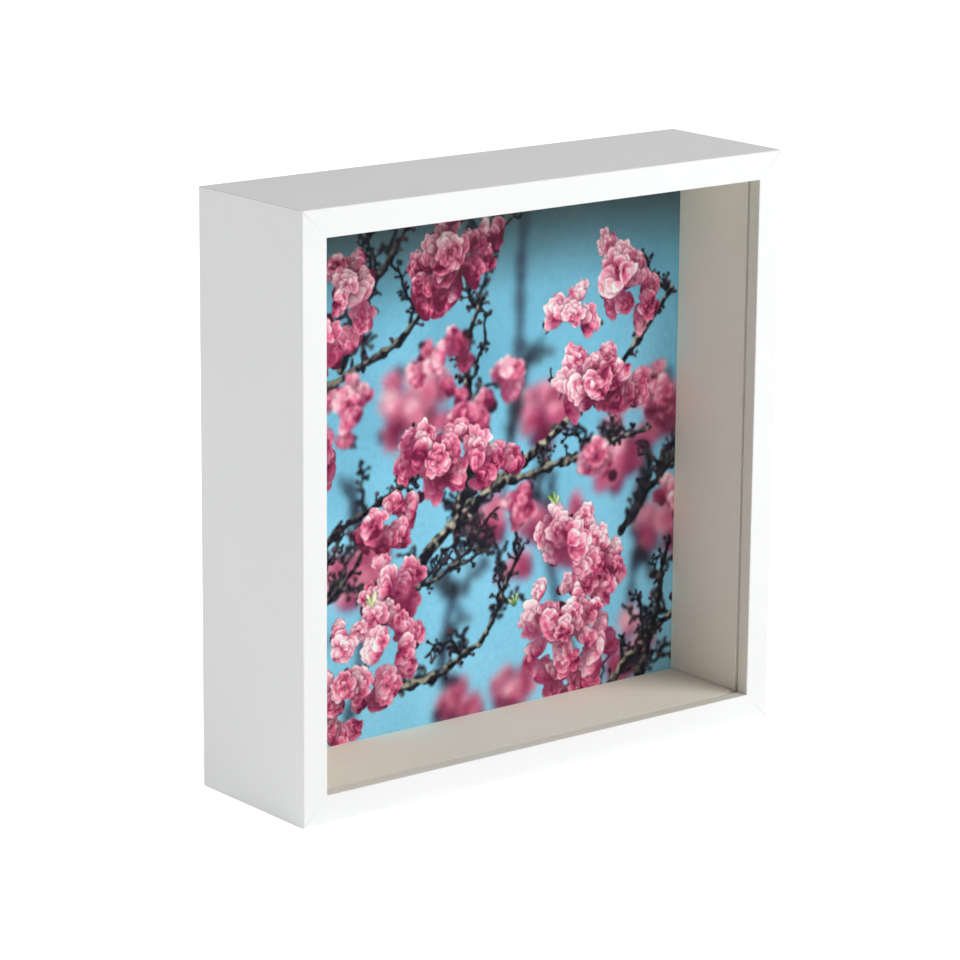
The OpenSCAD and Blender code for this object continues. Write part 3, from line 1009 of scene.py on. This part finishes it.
def paint_near_plane(picture):
    draw = np.random.default_rng(7)
    near = Layer()
    for x, y, half_long, half_wide, lean, count, light in NEAR_CLUSTERS:
        half_sizes = (CLUSTER_FIT * half_long, CLUSTER_FIT * half_wide)
        lay_cluster(near, (x, y), half_sizes, lean, count, light, (16, 27), 0.030, draw)
    for x, y in SHOOTS:
        for angle in (-2.3, -1.9, -1.5, -1.1):
            length = draw.uniform(9, 17)
            lay_petal(near, x * CELLS, y * CELLS, angle, length, 0.16, 0.9, draw, LEAF_TONES)
    return near.onto(picture, 0.3)


print("sharp plane:", len(NEAR_CLUSTERS), "clusters and", len(SHOOTS), "leaf shoots")

# %% Put the planes together
# Painted shadow of the frame's top wall: the picture's top edge is darkened and greyed.
TOP_SHADE_REACH = 0.10
TOP_SHADE = 0.62
TOP_GREY = 0.4
CONTRAST, DEEPER = 1.18, 0.05
FILM_GRAIN = 0.010

picture = paint_near_plane(paint_middle_plane(paint_far_plane()))
grey = picture.mean(axis=2, keepdims=True)
# The top band in painted shadow.
dull = TOP_SHADE * ((1 - TOP_GREY) * picture + TOP_GREY * grey)
picture = mixed(picture, dull, np.exp(-((DOWN / TOP_SHADE_REACH) ** 2)))
grain = FILM_GRAIN * soft_noise(1.0, 9)[..., None]
picture = np.clip(CONTRAST * picture - DEEPER + grain, 0, 1)
print("picture painted, mean colour", [round(float(v), 2) for v in picture.mean(axis=(0, 1))])

# %% [markdown]
# ### The print itself
#
# The card is a fine grid, one vertex to a cell of the canvas, closed by thin
# edges and a plain back, so that it is a real sheet 0.4 mm thick. It lies in the
# space of the CAD sheet and stands for it. The painted colours become a colour
# attribute, which the material reads; the paper's own grain comes on top.

# %% Print card
WHITE_PAPER = (0.93, 0.92, 0.90)


def make_print_card():
    across = np.linspace(print_low[0], print_high[0], CELLS)
    up = np.linspace(print_high[2], print_low[2], CELLS)
    grid_x, grid_z = np.meshgrid(across, up)
    flat = np.full(CELLS * CELLS, print_low[1])
    front = np.column_stack((grid_x.ravel(), flat, grid_z.ravel()))

    index = np.arange(CELLS * CELLS).reshape(CELLS, CELLS)
    rim = np.concatenate((index[0, :-1], index[:-1, -1], index[-1, :0:-1], index[:0:-1, 0]))
    behind = front[rim]
    behind[:, 1] = print_high[1]
    corners = (index[:-1, :-1], index[1:, :-1], index[1:, 1:], index[:-1, 1:])
    faces = np.stack(corners, -1).reshape(-1, 4).tolist()
    first = len(front)
    count = len(rim)
    for place in range(count):
        after = (place + 1) % count
        faces.append([int(rim[place]), int(rim[after]), first + after, first + place])
    faces.append([first + place for place in range(count)])

    mesh = bpy.data.meshes.new("blossom_print")
    mesh.from_pydata(np.concatenate((front, behind)).tolist(), [], faces)
    colours = np.ones((len(mesh.vertices), 4), np.float32)
    colours[:, :3] = WHITE_PAPER
    colours[:first, :3] = picture.reshape(-1, 3)
    layer = mesh.color_attributes.new("ink", "BYTE_COLOR", "POINT")
    layer.data.foreach_set("color_srgb", colours.ravel())
    piece = bpy.data.objects.new("blossom_print", mesh)
    bpy.context.scene.collection.objects.link(piece)
    return piece


blossom_print = make_print_card()
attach(blossom_print, "back")
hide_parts("print")
print("print card:", len(blossom_print.data.polygons), "faces")

# %% Print material
def make_print_paper():
    material, tree, shader = new_material("printed_paper")
    shader.inputs["Specular IOR Level"].default_value = 0.05
    ink = add(tree, "Attribute", {"attribute_name": "ink"}).outputs["Color"]
    grain = use(tree, speckle, Cloud_size=0.04, Speck_size=0.0006, Specks=0.6)
    faint = spread(tree, grain["Value"], 0.0, 1.0, 0.97, 1.03)
    shades = add(tree, "CombineXYZ", X=faint, Y=faint, Z=faint).outputs[0]
    link(tree, blend_colours(tree, 1.0, ink, shades, "MULTIPLY"), shader, "Base Color")
    link(tree, spread(tree, grain["Value"], 0.0, 1.0, 0.46, 0.58), shader, "Roughness")
    bump = add(tree, "Bump", Strength=0.08, Distance=0.03 * MM, Height=grain["Height"])
    link(tree, bump.outputs[0], shader, "Normal")
    return material


blossom_print.data.materials.append(make_print_paper())
print("print card wears", blossom_print.data.materials[0].name)

# %% [markdown]
# ## Studio
#
# A wide white floor runs out of view, so the frame stands on a plain pale ground.
# A large key lamp in front, high on the right, lifts the front face above the sides
# and reaches the bottom of the box. A lamp behind keeps the ground white, one at the
# left evens out that side, and the glow of the white floor and a faint sky fill the
# rest, so that no hard shadow shows. Floor and sky look whiter to the camera than the
# light that they give, as a white sweep lit by its own lamps does in a studio.

# %% Floor
FLOOR_REACH = 30 * size.x
FLOOR_WHITE = (0.96, 0.96, 0.96, 1)
FLOOR_GLOW = 0.38
FLOOR_GLOW_SEEN = 0.85


def looked_at(tree):
    """One for what is looked at, straight or through glass, and zero for light that spreads"""
    ray = add(tree, "LightPath")
    return math(tree, "MAXIMUM", ray.outputs["Is Camera Ray"], ray.outputs["Is Transmission Ray"])


def make_floor():
    mesh = bpy.data.meshes.new("floor")
    corners = ((-1, -1), (1, -1), (1, 1), (-1, 1))
    mesh.from_pydata([(x * FLOOR_REACH, y * FLOOR_REACH, low.z) for x, y in corners], [], [(0, 1, 2, 3)])
    floor = bpy.data.objects.new("floor", mesh)
    bpy.context.scene.collection.objects.link(floor)
    material, tree, shader = new_material("studio_floor")
    shader.inputs["Base Color"].default_value = FLOOR_WHITE
    shader.inputs["Roughness"].default_value = 0.9
    seen = looked_at(tree)
    glow = blend_colours(tree, seen, (*[FLOOR_GLOW] * 3, 1), (*[FLOOR_GLOW_SEEN] * 3, 1))
    link(tree, glow, shader, "Emission Color")
    shader.inputs["Emission Strength"].default_value = 1.0
    mesh.materials.append(material)
    return floor


floor = make_floor()
print("floor reaches", round(FLOOR_REACH, 1), "m each way")


# %% Lamps
LAMP_DISTANCE = 2.6
LAMP_WIDTH = 1.4


def make_lamp(name, turn, rise, power):
    """A square soft lamp that points at the middle of the frame"""
    lamp = bpy.data.objects.new(name, bpy.data.lights.new(name, "AREA"))
    lamp.data.size = LAMP_WIDTH
    lamp.data.energy = power
    towards = direction(radians(turn), radians(rise))
    lamp.rotation_mode = "QUATERNION"
    lamp.rotation_quaternion = facing(towards)
    lamp.location = middle + towards * LAMP_DISTANCE
    bpy.context.scene.collection.objects.link(lamp)
    print("lamp:", name, power, "W")


make_lamp("key", 30, 37, 40.0)
make_lamp("behind", 180, 40, 14.6)
make_lamp("left_side", -110, 10, 7.2)

# %% Sky
SKY_GLOW = 0.25
SKY_GLOW_SEEN = 1.0
world = bpy.data.worlds.new("studio")
world.use_nodes = True
bpy.context.scene.world = world
sky = world.node_tree.nodes["Background"]
sky.inputs["Color"].default_value = (1, 1, 1, 1)
seen = looked_at(world.node_tree)
glow = spread(world.node_tree, seen, 0.0, 1.0, SKY_GLOW, SKY_GLOW_SEEN)
link(world.node_tree, glow, sky, "Strength")

bpy.context.scene.view_settings.view_transform = "Standard"
print("sky gives", SKY_GLOW, "and shows", SKY_GLOW_SEEN)
